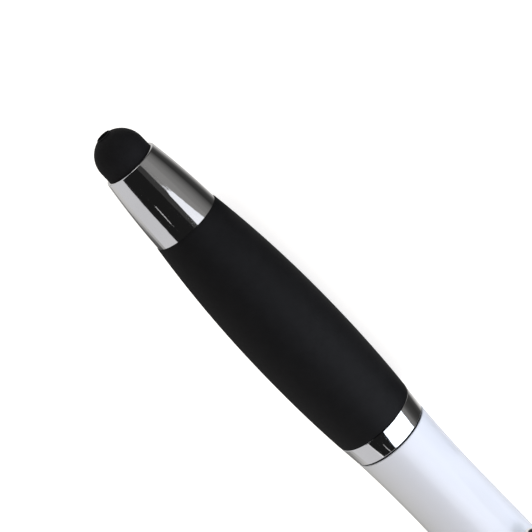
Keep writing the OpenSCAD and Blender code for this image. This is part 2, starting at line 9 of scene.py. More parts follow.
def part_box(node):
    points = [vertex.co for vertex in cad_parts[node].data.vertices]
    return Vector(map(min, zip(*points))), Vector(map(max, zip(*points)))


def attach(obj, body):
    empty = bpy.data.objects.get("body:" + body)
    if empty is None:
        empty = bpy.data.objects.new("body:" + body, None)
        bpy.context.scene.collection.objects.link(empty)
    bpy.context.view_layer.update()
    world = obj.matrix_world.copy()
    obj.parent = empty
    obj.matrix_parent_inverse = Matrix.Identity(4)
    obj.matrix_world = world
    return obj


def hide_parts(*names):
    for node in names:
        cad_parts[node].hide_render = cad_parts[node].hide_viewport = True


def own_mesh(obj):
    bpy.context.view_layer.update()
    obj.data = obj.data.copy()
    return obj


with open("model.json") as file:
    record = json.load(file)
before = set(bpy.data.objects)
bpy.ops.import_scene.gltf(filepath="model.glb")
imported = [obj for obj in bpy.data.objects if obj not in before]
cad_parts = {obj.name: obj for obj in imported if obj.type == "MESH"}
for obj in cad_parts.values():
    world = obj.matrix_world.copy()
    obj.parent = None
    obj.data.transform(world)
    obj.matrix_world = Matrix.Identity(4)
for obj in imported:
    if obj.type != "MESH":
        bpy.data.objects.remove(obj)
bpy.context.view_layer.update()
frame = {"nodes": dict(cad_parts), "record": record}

# The frame: millimetres in metres, and where the pen's apex and axis lie
MM = 0.001
GRIP_LOW, GRIP_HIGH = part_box("grip_sleeve")
TIP_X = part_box("stylus_tip")[0].x
AXIS_Y = (GRIP_LOW.y + GRIP_HIGH.y) / 2
AXIS_Z = (GRIP_LOW.z + GRIP_HIGH.z) / 2


def front_of(node):
    """Station of a CAD node's front end: its distance from the stylus apex in millimetres."""
    return (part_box(node)[0].x - TIP_X) / MM


def rear_of(node):
    """Station of a CAD node's rear end."""
    return (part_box(node)[1].x - TIP_X) / MM


# All sizes are millimetres. A station (S) comes from the frame, and a radius (R) or diameter (D) repeats the
# CAD source's value, because the frame's meshes have flat facets.
DOME_BASE = rear_of("stylus_tip")
SPIGOT_S = front_of("nose_cone")
GRIP_S = front_of("grip_sleeve")
RING_S = front_of("centre_ring")
JOINT_S = rear_of("centre_ring")
BARREL_S = front_of("barrel")
CAP_S = front_of("end_cap")
END_S = rear_of("end_cap")
# Clearances: a visible piece on its neighbour, the ends of sockets, running bores, and slots
FIT = 0.01
END_PLAY = 0.1
RUNNING_FIT = 0.07
SLOT_FIT = 0.15

# Stylus dome, with the lip round its outlet. A break is the softening of an edge.
OUTLET_R = 0.85
OUTLET_BREAK = 0.02
OUTLET_BREAK_DEPTH = 0.03
LIP_R = 1.05
LIP_RISE = 0.15
# The fillet at the lip's foot as points back and out from it, and its part of the dome's arc
LIP_FILLET = ((0, 0.012), (0.02, 0.05))
LIP_FILLET_DEG = 1.2
DOME_R = 3.525
DOME_CENTRE = LIP_RISE + math.sqrt(DOME_R ** 2 - LIP_R ** 2)

# Spigot of the nose cone, and the snap bead that holds the dome on it
SPIGOT_R = 2.3
SPIGOT_CHAMFER = 0.1
SNAP_BEAD = 0.2
SNAP_S = (SPIGOT_S + DOME_BASE) / 2
SNAP_HALF = (DOME_BASE - SPIGOT_S) / 8

# Nose cone, whose front rim stands a little in front of the dome's base
DOME_SEAT = 0.3
NOSE_S = DOME_BASE - DOME_SEAT
NOSE_FRONT_R = 3.95
NOSE_REAR_R = 4.93
NOSE_SWELL = 0.14
NOSE_BREAK = 0.03
RIM_ROUND = 0.3
RIM_BREAK = 0.02
TIP_BORE_R = 1.22
GUIDE_BORE_R = 2.25
THREAD_R = 3.7
SOCKET_S = front_of("grip_core") - END_PLAY

# Return spring, between the nose cone's seat and the refill's collar
SPRING_SEAT = 3.0
SPRING_S = NOSE_S + SPRING_SEAT
COLLAR_LENGTH = 1.5
COLLAR_S = front_of("refill_tube") - COLLAR_LENGTH
WIRE_R = 0.18
COIL_R = 1.65
TURNS = 11
STEPS_PER_TURN = 36
WIRE_SIDES = 12

# Grip sleeve, with grooves over the core's ribs
BELLY_AT = 23.2
BELLY_S = GRIP_S + BELLY_AT
BELLY_D = 13.0
GRIP_FRONT_D = 10.04
GRIP_REAR_D = 12.0
FULLNESS = 2.1  # the power with which the belly falls off to the ends
GRIP_ROUND = 0.4
GRIP_BREAK = 0.08
GRIP_BREAK_KNEE = 0.025  # the middle of the softened edge
GRIP_BREAK_END = 0.1
CORE_R = 4.2  # the grip core under the sleeve
RIB_COUNT = 4
RIB_WIDTH = 1.4
RIB_HEIGHT = 0.25

# Centre ring
RING_FRONT_R = 5.95
RING_REAR_R = 5.7
RING_ROUND = 0.1
RING_BORE_R = 4.41

# Barrel
BARREL_FRONT_D = 10.24
BARREL_REAR_D = 9.7
BARREL_SWELL = 0.5
BARREL_ROUND = 0.1
BARREL_BREAK = 0.08
FLARE = 0.55
FLARE_LENGTH = 14.0
MOUTH_DEPTH = 1.2  # the lead-in at the bore's mouth
MOUTH_RIM = 0.1  # the flat left round that mouth
COUNTERBORE_R = 4.47
COUNTERBORE_END = rear_of("grip_core") + RUNNING_FIT
BORE_R = 3.9
BORE_END = rear_of("cam_sleeve")
REAR_BORE_R = 3.45

# End cap, with the notch that the clip goes through
CAP_BORE_R = 3.61
CAP_BREAK = 0.12
CAP_BREAK_KNEE = 0.035  # the middle of the softened edge
CAP_SKIRT_S = CAP_S + 1  # the first ring of the plain skirt
CAP_DOME = 4.0
CAP_FLAT_R = 2.6
STUD_END = rear_of("cap_plug")
TANG_NECK = 3.0  # the clip's width in the notch
NOTCH_WIDTH = TANG_NECK + 2 * SLOT_FIT
NOTCH_TOP = rear_of("clip") + END_PLAY
NOTCH_FLOOR = 2  # the cut starts inside the cap's bore
NOTCH_PAST = 1  # how far the cut goes past the skirt

# Clip: a tang in the cap, a bend, a leaning arm and a free end that turns up over a contact bump
CLIP_T = 0.8
CLIP_WIDTH = 4.4
CLIP_END_WIDTH = 3.0
CLIP_EDGE = 0.2
CLIP_END_S = front_of("clip")
TANG_S = rear_of("clip") - CLIP_T / 2
PAST_TANG = 0.5  # where the taper has the clip's full width
TANG_BAR = 4.6
TANG_BAR_LENGTH = 0.9
TANG_AT = 0.6  # the tang's inner end, from the pen's axis
WIDTH_STEP = 0.01  # the length over which the tang's width changes
BEND_X = 5.35
BEND_R = 1.6
BUMP_AT = 5.4  # from the clip's free end
BUMP_R = 0.6
BUMP_ROUND = 0.15
BUMP_SIDES = 48
SKI_R = 20.0  # the upturned end's curve
REST_GAP = 0.1  # between the bump and the barrel

# Meshes: sides of a turned piece, the angle over which an edge stays sharp, and the metres within which
# points are merged
TURNED_SIDES = 160
SHARP_DEG = 38
MERGE_M = 1e-8


# Shapes

def place(station, out, side):
    """A point of the frame from a station, a distance towards the clip and a distance upwards."""
    return Vector((TIP_X + station * MM, AXIS_Y + out * MM, AXIS_Z + side * MM))


def spread(start, end, steps):
    """Numbers spread evenly between two numbers."""
    return [start + (end - start) * i / steps for i in range(steps + 1)]


def arc(centre, radius, start, end, steps):
    """Points (station, radius) of an arc, with angles in degrees from the radial direction."""
    points = []
    for degrees in spread(start, end, steps):
        a = math.radians(degrees)
        points.append((centre[0] + radius * math.sin(a), centre[1] + radius * math.cos(a)))
    return points


def bead(station, half, low, high):
    """Outline points of a low bead with sloping sides, from front to rear."""
    return [
        (station - 2 * half, low), (station - half, high),
        (station + half, high), (station + 2 * half, low)
    ]


def mesh_object(name, bm):
    """A smooth object from a bmesh, with its sharp edges kept and its faces outwards."""
    bmesh.ops.remove_doubles(bm, verts=bm.verts, dist=MERGE_M)
    bmesh.ops.recalc_face_normals(bm, faces=bm.faces)
    for face in bm.faces:
        face.smooth = True
    for edge in bm.edges:
        if len(edge.link_faces) == 2 and edge.calc_face_angle() > math.radians(SHARP_DEG):
            edge.smooth = False
    mesh = bpy.data.meshes.new(name)
    bm.to_mesh(mesh)
    bm.free()
    obj = bpy.data.objects.new(name, mesh)
    bpy.context.scene.collection.objects.link(obj)
    return obj


def bridge(bm, rings):
    """Faces between each ring of points and the next one, where a ring may be a single point."""
    for one, two in zip(rings, rings[1:]):
        count = max(len(one), len(two))
        if count == 1:
            continue
        for k in range(count):
            n = (k + 1) % count
            corners = [one[k % len(one)], one[n % len(one)], two[n % len(two)], two[k % len(two)]]
            bm.faces.new(list(dict.fromkeys(corners)))


def turned(outline):
    """A bmesh of a closed outline of (station, radius) points turned about the pen's axis."""
    bm = bmesh.new()
    rings = []
    for station, radius in outline:
        ring = []
        for k in range(TURNED_SIDES if radius else 1):
            a = 2 * math.pi * k / TURNED_SIDES
            ring.append(bm.verts.new(place(station, radius * math.cos(a), radius * math.sin(a))))
        rings.append(ring)
    bridge(bm, rings + rings[:1])
    return bm


def combined(obj, other, operation):
    """Joins or cuts an object with another one for good, and deletes the other."""
    step = obj.modifiers.new("combine", "BOOLEAN")
    step.operation = operation
    step.solver = "EXACT"
    step.object = other
    bpy.context.view_layer.update()
    evaluated = obj.evaluated_get(bpy.context.evaluated_depsgraph_get())
    bm = bmesh.new()
    bm.from_mesh(bpy.data.meshes.new_from_object(evaluated))
    name = obj.name
    bpy.data.objects.remove(other)
    bpy.data.objects.remove(obj)
    return mesh_object(name, bm)


def stylus_tip():
    """Rubber dome with the raised lip round its outlet, hollow for the spigot."""
    edge = LIP_RISE / 2
    lip_angle = math.degrees(math.acos(LIP_R / DOME_R))
    bore = SPIGOT_R + FIT
    lip = [(0, OUTLET_R + OUTLET_BREAK)] + arc((edge, LIP_R - edge), edge, -90, 0, steps=6)
    fillet = [(LIP_RISE + back, LIP_R + out) for back, out in LIP_FILLET]
    dome = arc((DOME_CENTRE, 0), DOME_R, LIP_FILLET_DEG - lip_angle, 0, steps=48)
    inside = [(DOME_BASE, DOME_R), (DOME_BASE, bore)]
    inside += reversed(bead(SNAP_S, SNAP_HALF, bore, bore + SNAP_BEAD))
    inside += [(SPIGOT_S - FIT, bore), (SPIGOT_S - FIT, OUTLET_R), (OUTLET_BREAK_DEPTH, OUTLET_R)]
    return mesh_object("stylus_dome", turned(lip + fillet + dome + inside))


def nose_radius(station):
    """Radius of the nose cone's slightly swelling taper."""
    u = (station - NOSE_S - RIM_ROUND) / (GRIP_S - NOSE_S - RIM_ROUND)
    return NOSE_FRONT_R + (NOSE_REAR_R - NOSE_FRONT_R) * u + 4 * NOSE_SWELL * u * (1 - u)


def nose_cone():
    """Chrome cone with its spigot, tip bore, spring seat and threaded socket."""
    front = NOSE_S + RIM_ROUND
    rim = arc((front, NOSE_FRONT_R - RIM_ROUND), RIM_ROUND, -90, 0, steps=8)
    side = [(s, nose_radius(s)) for s in spread(front, GRIP_S - NOSE_BREAK, steps=40)[1:]]
    inside = [
        (GRIP_S, NOSE_REAR_R - NOSE_BREAK), (GRIP_S, THREAD_R), (SOCKET_S, THREAD_R),
        (SOCKET_S, GUIDE_BORE_R), (SPRING_S, GUIDE_BORE_R), (SPRING_S, TIP_BORE_R),
        (SPIGOT_S, TIP_BORE_R), (SPIGOT_S, SPIGOT_R - SPIGOT_CHAMFER), (SPIGOT_S + SPIGOT_CHAMFER, SPIGOT_R)
    ]
    inside += bead(SNAP_S, SNAP_HALF, SPIGOT_R, SPIGOT_R + SNAP_BEAD)
    inside += [(DOME_BASE, SPIGOT_R), (DOME_BASE, DOME_R + FIT), (NOSE_S + RIM_BREAK, DOME_R + FIT)]
    return mesh_object("chrome_nose", turned(rim + side + inside))


def grip_radius(station):
    """Radius of the grip, which falls off from its belly to both ends."""
    front = station < BELLY_S
    end_d = GRIP_FRONT_D if front else GRIP_REAR_D
    reach = BELLY_S - GRIP_S if front else RING_S - GRIP_ROUND - BELLY_S
    return (BELLY_D - (BELLY_D - end_d) * (abs(station - BELLY_S) / reach) ** FULLNESS) / 2


def grip_sleeve():
    """Soft sleeve with its belly, rounded rear edge and the grooves over the core's ribs."""
    front = grip_radius(GRIP_S)
    rear = RING_S - GRIP_ROUND
    bore = CORE_R + FIT
    outside = [(GRIP_S, front - GRIP_BREAK), (GRIP_S + GRIP_BREAK_KNEE, front - GRIP_BREAK_KNEE)]
    outside += [(s, grip_radius(s)) for s in spread(GRIP_S + GRIP_BREAK_END, rear, steps=96)]
    outside += arc((rear, GRIP_REAR_D / 2 - GRIP_ROUND), GRIP_ROUND, 0, 90, steps=10)[1:]
    inside = [(RING_S, bore)]
    pitch = (RING_S - GRIP_S) / RIB_COUNT
    for i in reversed(range(RIB_COUNT)):
        middle = GRIP_S + (i + 0.5) * pitch
        inside += reversed(bead(middle, RIB_WIDTH / 4, bore, bore + RIB_HEIGHT))
    inside += [(GRIP_S, bore)]
    return mesh_object("soft_grip", turned(outside + inside))


def centre_ring():
    """Chrome ring with rounded edges."""
    outside = arc((RING_S + RING_ROUND, RING_FRONT_R - RING_ROUND), RING_ROUND, -90, 0, steps=8)
    outside += arc((JOINT_S - RING_ROUND, RING_REAR_R - RING_ROUND), RING_ROUND, 0, 90, steps=8)
    inside = [(JOINT_S, RING_BORE_R), (RING_S, RING_BORE_R)]
    return mesh_object("chrome_ring", turned(outside + inside))


def barrel_radius(station):
    """Radius of the barrel: a taper with a swell, and a flare at the ring."""
    u = (station - BARREL_S) / (CAP_S - BARREL_S)
    f = max(0.0, 1 - (station - BARREL_S) / FLARE_LENGTH)
    taper = (BARREL_FRONT_D + (BARREL_REAR_D - BARREL_FRONT_D) * u) / 2
    return taper + 4 * BARREL_SWELL * u * (1 - u) + FLARE * f * f


def barrel():
    """White barrel with its flare, swell and stepped bore, whose mouth flares."""
    side_s = BARREL_S + BARREL_ROUND
    edge = barrel_radius(side_s) - BARREL_ROUND
    outside = arc((side_s, edge), BARREL_ROUND, -90, 0, steps=8)
    outside += [(s, barrel_radius(s)) for s in spread(side_s, CAP_S - BARREL_BREAK, steps=120)[1:]]
    inside = [
        (CAP_S, BARREL_REAR_D / 2 - BARREL_BREAK), (CAP_S, REAR_BORE_R), (BORE_END, REAR_BORE_R),
        (BORE_END, BORE_R), (COUNTERBORE_END, BORE_R), (COUNTERBORE_END, COUNTERBORE_R),
        (BARREL_S + MOUTH_DEPTH, COUNTERBORE_R), (BARREL_S, edge - MOUTH_RIM)
    ]
    return mesh_object("white_barrel", turned(outside + inside))


def block(name, low, high):
    """A box between two corners given as station, out and side."""
    bm = bmesh.new()
    bmesh.ops.create_cube(bm, size=1)
    a, b = place(*low), place(*high)
    for v in bm.verts:
        v.co = Vector((a[i] + (v.co[i] + 0.5) * (b[i] - a[i]) for i in range(3)))
    return mesh_object(name, bm)


def end_cap():
    """Chrome cap with a domed end, a small flat and the notch for the clip."""
    skirt = BARREL_REAR_D / 2
    dome_s = END_S - CAP_DOME
    outside = [
        (CAP_S, CAP_BORE_R), (CAP_S, skirt - CAP_BREAK),
        (CAP_S + CAP_BREAK_KNEE, skirt - CAP_BREAK_KNEE), (CAP_S + CAP_BREAK, skirt)
    ]
    outside += [(s, skirt) for s in spread(CAP_SKIRT_S, dome_s, steps=6)]
    for degrees in spread(0, 90, steps=40)[1:]:
        a = math.radians(degrees)
        outside.append((dome_s + CAP_DOME * math.sin(a), CAP_FLAT_R + (skirt - CAP_FLAT_R) * math.cos(a)))
    outside += [(END_S, 0), (STUD_END, 0), (STUD_END, CAP_BORE_R)]
    cap = mesh_object("chrome_cap", turned(outside))
    low = (CAP_S - NOTCH_PAST, NOTCH_FLOOR, -NOTCH_WIDTH / 2)
    high = (NOTCH_TOP, skirt + NOTCH_PAST, NOTCH_WIDTH / 2)
    return combined(cap, block("notch", low, high), "DIFFERENCE")


def clip_line():
    """The clip's middle line as (out, station, normal's out, normal's station, half width), with the
    function of its upturned end, where that end's rounding starts, and the contact bump's centre."""
    bump_s = CLIP_END_S + BUMP_AT
    arm_top = BEND_X + BEND_R
    arm_bump = barrel_radius(bump_s) + REST_GAP + BUMP_R + CLIP_T / 2
    bend_s = TANG_S - BEND_R
    lean = math.atan((arm_top - arm_bump) / (bend_s - bump_s))
    round_s = CLIP_END_S + CLIP_END_WIDTH / 2

    def half_width(s):
        """Half of the clip's width, which tapers to the free end."""
        share = (s - round_s) / (TANG_S + PAST_TANG - round_s)
        return (CLIP_END_WIDTH + (CLIP_WIDTH - CLIP_END_WIDTH) * share) / 2

    neck = TANG_AT + TANG_BAR_LENGTH
    line = []
    for out, width in (
        (TANG_AT, TANG_BAR), (neck - WIDTH_STEP, TANG_BAR),
        (neck, TANG_NECK), (BEND_X - WIDTH_STEP, TANG_NECK)
    ):
        line.append((out, TANG_S, 0.0, 1.0, width / 2))
    for a in spread(math.pi / 2, -lean, steps=20):
        s = bend_s + BEND_R * math.sin(a)
        line.append((BEND_X + BEND_R * math.cos(a), s, math.cos(a), math.sin(a), half_width(s)))
    start = line[-1]
    for t in spread(0, 1, steps=24)[1:]:
        out = start[0] + (arm_bump - start[0]) * t
        s = start[1] + (bump_s - start[1]) * t
        line.append((out, s, math.cos(lean), -math.sin(lean), half_width(s)))
    centre = (arm_bump + SKI_R * math.cos(lean), bump_s - SKI_R * math.sin(lean))

    def on_ski(s):
        """A point of the upturned end and its normal."""
        a = math.pi - math.asin((s - centre[1]) / SKI_R)
        return centre[0] + SKI_R * math.cos(a), s, -math.cos(a), -math.sin(a)

    for s in spread(bump_s, round_s, steps=12)[1:]:
        line.append(on_ski(s) + (half_width(s),))
    return line, on_ski, round_s, (arm_bump - CLIP_T / 2, bump_s)


def clip_sheet(line, on_ski, round_s):
    """The clip's bent sheet with softened edges and a round free end."""
    levels = []
    for degrees in spread(-90, 0, steps=5):
        a = math.radians(degrees)
        levels.append((CLIP_EDGE * (1 - math.cos(a)), -CLIP_T / 2 + CLIP_EDGE * (1 + math.sin(a))))
    levels += [(inset, -height) for inset, height in reversed(levels)]
    bm = bmesh.new()

    def point(out, s, normal_out, normal_s, height, side):
        """A corner of the sheet, at a height over the middle line and a distance to a side."""
        return bm.verts.new(place(s + normal_s * height, out + normal_out * height, side))

    columns = []
    for side in (1, -1):
        grid = []
        for inset, height in levels:
            reach = CLIP_END_WIDTH / 2 - inset
            row = [point(*at, height, side * (half - inset)) for *at, half in line]
            for b in spread(0, math.pi / 2, steps=14)[1:-1]:
                row.append(point(*on_ski(round_s - reach * math.sin(b)), height, side * reach * math.cos(b)))
            grid.append(row)
        columns.append(grid)
    tips = []
    for inset, height in levels:
        tips.append(point(*on_ski(round_s - CLIP_END_WIDTH / 2 + inset), height, 0))
    left, right = columns
    last = len(left[0]) - 1
    for grid in columns:
        for j in range(len(levels) - 1):
            for i in range(last):
                bm.faces.new((grid[j][i], grid[j][i + 1], grid[j + 1][i + 1], grid[j + 1][i]))
            bm.faces.new((grid[j][last], tips[j], tips[j + 1], grid[j + 1][last]))
    for j in (0, len(levels) - 1):
        for i in range(last):
            bm.faces.new((left[j][i], left[j][i + 1], right[j][i + 1], right[j][i]))
        bm.faces.new((left[j][last], tips[j], right[j][last]))
    bm.faces.new([row[0] for row in left] + [row[0] for row in reversed(right)])
    return mesh_object("chrome_clip", bm)


def clip_bump(out, station):
    """The contact bump under the clip's free end: a round bar across it with softened ends."""
    reach = (CLIP_END_WIDTH - CLIP_T) / 2
    shape = [(-reach, 0)]
    for a in spread(0, math.pi / 2, steps=4):
        side = -reach + BUMP_ROUND * (1 - math.cos(a))
        shape.append((side, BUMP_R - BUMP_ROUND + BUMP_ROUND * math.sin(a)))
    shape += [(-side, radius) for side, radius in reversed(shape)]
    bm = bmesh.new()
    rings = []
    for side, radius in shape:
        ring = []
        for k in range(BUMP_SIDES if radius else 1):
            a = 2 * math.pi * k / BUMP_SIDES
            ring.append(bm.verts.new(place(station + radius * math.cos(a), out + radius * math.sin(a), side)))
        rings.append(ring)
    bridge(bm, rings)
    return mesh_object("bump", bm)


def clip():
    """Chrome clip: a bent sheet joined with its contact bump."""
    line, on_ski, round_s, bump_centre = clip_line()
    sheet = clip_sheet(line, on_ski, round_s)
    return combined(sheet, clip_bump(*bump_centre), "UNION")


def return_spring():
    """Round wire wound between the nose's seat and the refill's collar."""
    low, high = SPRING_S + WIRE_R, COLLAR_S - WIRE_R
    bm = bmesh.new()
    rings = []
    for u in spread(0, 1, TURNS * STEPS_PER_TURN):
        a = 2 * math.pi * TURNS * u
        ring = []
        for k in range(WIRE_SIDES):
            b = 2 * math.pi * k / WIRE_SIDES
            r = COIL_R + WIRE_R * math.cos(b)
            s = low + (high - low) * u + WIRE_R * math.sin(b)
            ring.append(bm.verts.new(place(s, r * math.cos(a), r * math.sin(a))))
        rings.append(ring)
    bridge(bm, rings)
    bm.faces.new(rings[0])
    bm.faces.new(rings[-1])
    return mesh_object("spring_wire", bm)


# Materials

class Paint:
    """A procedural material: a principled surface whose colour, roughness and bump vary with noise."""

    def __init__(self, name, colour, sockets):
        self.material = bpy.data.materials.new(name)
        self.material.use_nodes = True
        self.nodes = self.material.node_tree.nodes
        self.links = self.material.node_tree.links
        self.surface = self.nodes["Principled BSDF"]
        self.surface.inputs["Base Color"].default_value = (*colour, 1)
        self.colour = colour
        for socket, value in sockets.items():
            self.surface.inputs[socket].default_value = value
        self.where = self.nodes.new("ShaderNodeTexCoord")

    def noise(self, scale, detail=3.0, finer=(1, 1, 1)):
        """Noise with so many grains to a metre, times a factor along each axis."""
        move = self.nodes.new("ShaderNodeMapping")
        move.inputs["Scale"].default_value = finer
        grain = self.nodes.new("ShaderNodeTexNoise")
        grain.inputs["Scale"].default_value = scale
        grain.inputs["Detail"].default_value = detail
        self.links.new(self.where.outputs["Object"], move.inputs["Vector"])
        self.links.new(move.outputs["Vector"], grain.inputs["Vector"])
        return grain.outputs["Fac"]

    def tint(self, fac, other, start=0.35, end=0.65):
        """Varies the colour between the material's own and another one."""
        ramp = self.nodes.new("ShaderNodeValToRGB")
        ramp.color_ramp.elements[0].position = start
        ramp.color_ramp.elements[1].position = end
        ramp.color_ramp.elements[0].color = (*self.colour, 1)
        ramp.color_ramp.elements[1].color = (*other, 1)
        self.links.new(fac, ramp.inputs["Fac"])
        self.links.new(ramp.outputs["Color"], self.surface.inputs["Base Color"])

    def rough(self, fac, low, high, start=0.3, end=0.7):
        """Varies the roughness between two values."""
        ramp = self.nodes.new("ShaderNodeMapRange")
        ramp.inputs["From Min"].default_value = start
        ramp.inputs["From Max"].default_value = end
        ramp.inputs["To Min"].default_value = low
        ramp.inputs["To Max"].default_value = high
        self.links.new(fac, ramp.inputs["Value"])
        self.links.new(ramp.outputs["Result"], self.surface.inputs["Roughness"])

    def bump(self, fac, depth):
        """Roughens the surface by a depth in millimetres."""
        node = self.nodes.new("ShaderNodeBump")
        node.inputs["Strength"].default_value = 1.0
        node.inputs["Distance"].default_value = depth * MM
        self.links.new(fac, node.inputs["Height"])
        self.links.new(node.outputs["Normal"], self.surface.inputs["Normal"])


def stylus_rubber():
    """Soft black rubber of the dome."""
    paint = Paint("stylus_rubber", (0.0088, 0.0087, 0.01), {"Roughness": 0.66, "Specular IOR Level": 0.08})
    paint.tint(paint.noise(scale=900), other=(0.0102, 0.0101, 0.0115))
    paint.rough(paint.noise(scale=2500), low=0.62, high=0.7)
    paint.bump(paint.noise(scale=9000), depth=0.004)
    return paint


def chrome():
    """Polished plating with a faint wave, and faint polishing marks along the pen."""
    paint = Paint("chrome", (0.80, 0.80, 0.81), {"Metallic": 1.0, "Roughness": 0.07})
    paint.tint(paint.noise(scale=160), other=(0.83, 0.83, 0.835))
    paint.rough(paint.noise(scale=1200, finer=(0.3, 1, 1)), low=0.05, high=0.09)
    paint.bump(paint.noise(scale=700, detail=1.0), depth=0.01)
    return paint


def grip_rubber():
    """Black soft-touch rubber of the grip."""
    paint = Paint("grip_rubber", (0.0068, 0.0068, 0.0075), {"Roughness": 0.6, "Specular IOR Level": 0.1})
    paint.tint(paint.noise(scale=700), other=(0.008, 0.008, 0.0088))
    paint.rough(paint.noise(scale=3000), low=0.56, high=0.64)
    paint.bump(paint.noise(scale=12000), depth=0.004)
    return paint


def white_plastic():
    """Glossy bluish-white plastic of the barrel."""
    paint = Paint("white_plastic", (0.78, 0.825, 0.91), {"Roughness": 0.18, "Specular IOR Level": 0.36})
    paint.tint(paint.noise(scale=120), other=(0.795, 0.835, 0.915))
    paint.rough(paint.noise(scale=800), low=0.15, high=0.22)
    paint.bump(paint.noise(scale=450), depth=0.0008)
    return paint


def dark_plastic():
    """Dark matte plastic of the grip's core and the plug."""
    paint = Paint("dark_plastic", (0.04, 0.04, 0.045), {"Roughness": 0.5})
    paint.tint(paint.noise(scale=500), other=(0.055, 0.055, 0.06))
    paint.rough(paint.noise(scale=1500), low=0.42, high=0.58)
    paint.bump(paint.noise(scale=6000), depth=0.006)
    return paint


def natural_plastic():
    """Milky plastic of the twist mechanism."""
    paint = Paint("natural_plastic", (0.78, 0.77, 0.71), {
        "Roughness": 0.4, "Subsurface Weight": 0.1, "Subsurface Radius": (0.0006, 0.0005, 0.0004)
    })
    paint.tint(paint.noise(scale=350), other=(0.83, 0.82, 0.77))
    paint.rough(paint.noise(scale=1500), low=0.34, high=0.48)
    paint.bump(paint.noise(scale=4000), depth=0.004)
    return paint


def seal_rubber():
    """Black rubber of the friction ring."""
    paint = Paint("seal_rubber", (0.02, 0.02, 0.021), {"Roughness": 0.6})
    paint.tint(paint.noise(scale=900), other=(0.03, 0.03, 0.03))
    paint.rough(paint.noise(scale=2500), low=0.52, high=0.68)
    paint.bump(paint.noise(scale=9000), depth=0.004)
    return paint


def spring_steel():
    """Drawn steel wire with fine marks along it."""
    paint = Paint("spring_steel", (0.56, 0.57, 0.59), {"Metallic": 1.0, "Roughness": 0.28})
    paint.tint(paint.noise(scale=800), other=(0.64, 0.65, 0.67))
    paint.rough(paint.noise(scale=6000, finer=(4, 1, 1)), low=0.2, high=0.36)
    paint.bump(paint.noise(scale=9000, finer=(4, 1, 1)), depth=0.002)
    return paint


def clear_plastic():
    """Clear plastic of the refill's tube."""
    paint = Paint("clear_plastic", (0.86, 0.9, 0.92), {
        "Roughness": 0.12, "IOR": 1.49, "Transmission Weight": 0.85
    })
    paint.tint(paint.noise(scale=300), other=(0.9, 0.93, 0.95))
    paint.rough(paint.noise(scale=900), low=0.08, high=0.18)
    paint.bump(paint.noise(scale=700), depth=0.002)
    return paint


def ink():
    """Thick blue ink."""
    paint = Paint("ink", (0.006, 0.011, 0.085), {"Roughness": 0.16})
    paint.tint(paint.noise(scale=250), other=(0.01, 0.018, 0.13))
    paint.rough(paint.noise(scale=700), low=0.1, high=0.22)
    paint.bump(paint.noise(scale=500), depth=0.003)
    return paint


def tip_metal():
    """Turned metal of the writing tip, with fine tool marks round it."""
    paint = Paint("tip_metal", (0.62, 0.56, 0.42), {"Metallic": 1.0, "Roughness": 0.26})
    paint.tint(paint.noise(scale=700), other=(0.7, 0.63, 0.47))
    paint.rough(paint.noise(scale=5000, finer=(6, 1, 1)), low=0.2, high=0.34)
    paint.bump(paint.noise(scale=8000, finer=(6, 1, 1)), depth=0.002)
    return paint


def ball_metal():
    """Hard polished metal of the writing ball."""
    paint = Paint("ball_metal", (0.4, 0.41, 0.43), {"Metallic": 1.0, "Roughness": 0.14})
    paint.tint(paint.noise(scale=3000), other=(0.47, 0.48, 0.5))
    paint.rough(paint.noise(scale=9000), low=0.1, high=0.2)
    paint.bump(paint.noise(scale=12000), depth=0.001)
    return paint


def make_materials():
    """One material for each material slot of the record."""
    makers = (
        stylus_rubber, chrome, grip_rubber, white_plastic, dark_plastic, natural_plastic, seal_rubber,
        spring_steel, clear_plastic, ink, tip_metal, ball_metal
    )
    return {maker.__name__: maker().material for maker in makers}


def dress(materials):
    """Builds the visible pieces over their solids, and gives every other solid its material."""
    slot_of = {part["node"]: part["material_slot"] for part in frame["record"]["subparts"]}
    pieces = {
        "stylus_tip": (stylus_tip(), "lower"), "nose_cone": (nose_cone(), "lower"),
        "grip_sleeve": (grip_sleeve(), "lower"), "centre_ring": (centre_ring(), "lower"),
        "return_spring": (return_spring(), "lower"), "barrel": (barrel(), "upper"),
        "end_cap": (end_cap(), "upper"), "clip": (clip(), "clip")
    }
    for node, (piece, body) in pieces.items():
        piece.data.materials.append(materials[slot_of[node]])
        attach(piece, body)
        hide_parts(node)
    for node, obj in frame["nodes"].items():
        if node in pieces:
            continue
        obj.data.materials.clear()
        obj.data.materials.append(materials[slot_of[node]])
    spring = pieces["return_spring"][0]
    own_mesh(spring)


# Camera

# The photo's view: the pen's tilt towards the camera, the camera's turn above the clip, and the direction of
# the pen's axis in the image
TILT = math.radians(17.66)
TURN = math.radians(35)
AXIS_RIGHT = 0.6906
AXIS_DOWN = 0.7232
AXIS_ANGLE = math.atan2(AXIS_DOWN, AXIS_RIGHT)
# The image's size, the focal length and the dome's base, all in pixels, and that base's distance in metres
IMAGE_PX = 532.0
FOCAL_PX = 2996.0
DOME_PX = (129.44, 163.44)
DEPTH = 0.382
# The sensor's width in millimetres, and the nearest that the camera sees in metres
SENSOR_MM = 36
NEAREST = 0.01


